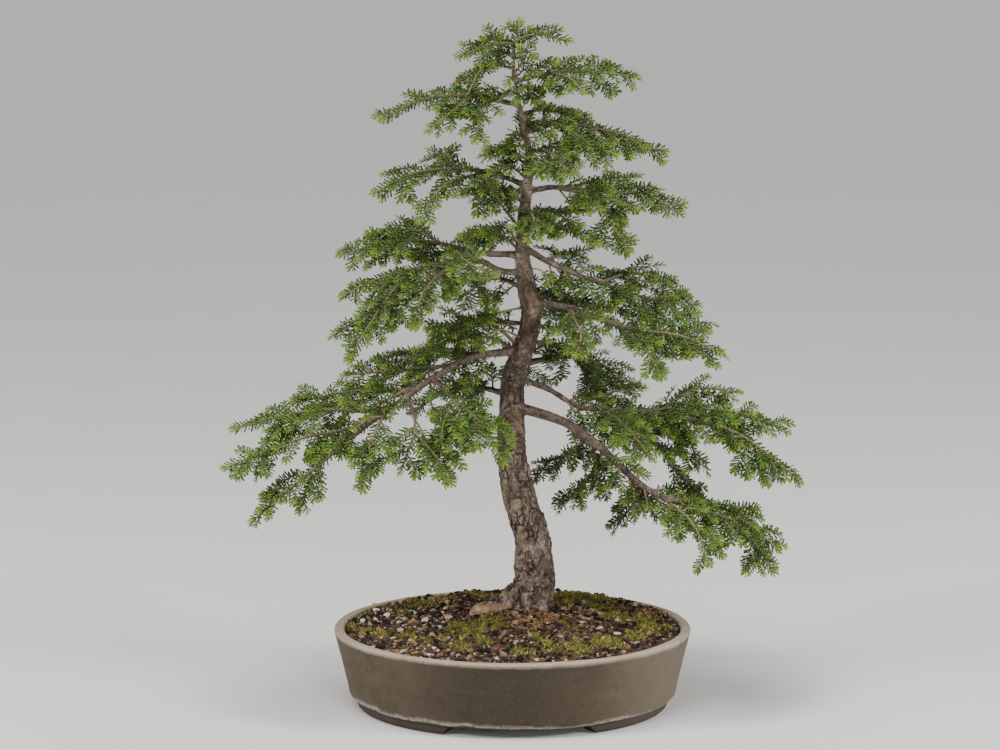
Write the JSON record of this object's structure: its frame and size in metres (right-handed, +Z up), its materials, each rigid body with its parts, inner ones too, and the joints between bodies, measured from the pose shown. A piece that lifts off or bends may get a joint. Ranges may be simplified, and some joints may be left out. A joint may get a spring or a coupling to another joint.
{
  "type": "carolina hemlock bonsai in an oval pot",
  "caption": "Informal upright conifer bonsai with a curved trunk and drooping tiers of short flat needles, rooted in moss-topped soil in a low unglazed oval pot.",
  "frame": {"origin": "centre of the whole bounding box in plan, on the surface that the pot's feet stand on", "axes": "+Z up, -Y towards the front of the bonsai, +X along the pot's long side to the viewer's right"},
  "size_m": [0.6238, 0.341, 0.7691],
  "materials": {
    "stoneware": "matt",
    "soil": "matt",
    "bark": "rough",
    "needles": "satin",
    "screen": "matt"
  },
  "bodies": {
    "root": {"drainage_screen_left": "screen", "drainage_screen_right": "screen", "pot": "stoneware", "soil": "soil", "spray_apex": "needles", "spray_back_low": "needles", "spray_back_low_left": "needles", "spray_back_low_right": "needles", "spray_back_mid_left": "needles", "spray_back_mid_right": "needles", "spray_back_top": "needles", "spray_back_up_left": "needles", "spray_back_up_right": "needles", "spray_front_mid": "needles", "spray_left_back": "needles", "spray_left_crown": "needles", "spray_left_low": "needles", "spray_left_low_hang": "needles", "spray_left_low_inner": "needles", "spray_left_low_stem": "needles", "spray_left_low_top_back": "needles", "spray_left_low_top_mid": "needles", "spray_left_low_top_out": "needles", "spray_left_low_under": "needles", "spray_left_low_upper": "needles", "spray_left_mid": "needles", "spray_left_mid_front": "needles", "spray_left_mid_hang": "needles", "spray_left_mid_top": "needles", "spray_left_mid_top_back": "needles", "spray_left_top": "needles", "spray_left_top_back": "needles", "spray_left_up": "needles", "spray_left_up_front": "needles", "spray_left_up_low": "needles", "spray_right_crown": "needles", "spray_right_crown_back": "needles", "spray_right_crown_front": "needles", "spray_right_inner": "needles", "spray_right_long": "needles", "spray_right_long_front": "needles", "spray_right_long_up": "needles", "spray_right_low": "needles", "spray_right_low_hang": "needles", "spray_right_low_inner_left": "needles", "spray_right_low_inner_mid": "needles", "spray_right_low_inner_right": "needles", "spray_right_low_top": "needles", "spray_right_mid": "needles", "spray_right_mid_back": "needles", "spray_right_mid_low": "needles", "spray_right_mid_low_front": "needles", "spray_right_small": "needles", "spray_right_top": "needles", "spray_right_up": "needles", "spray_right_up_back": "needles", "spray_right_up_front": "needles", "trunk": "bark"}
  },
  "joints": []
}
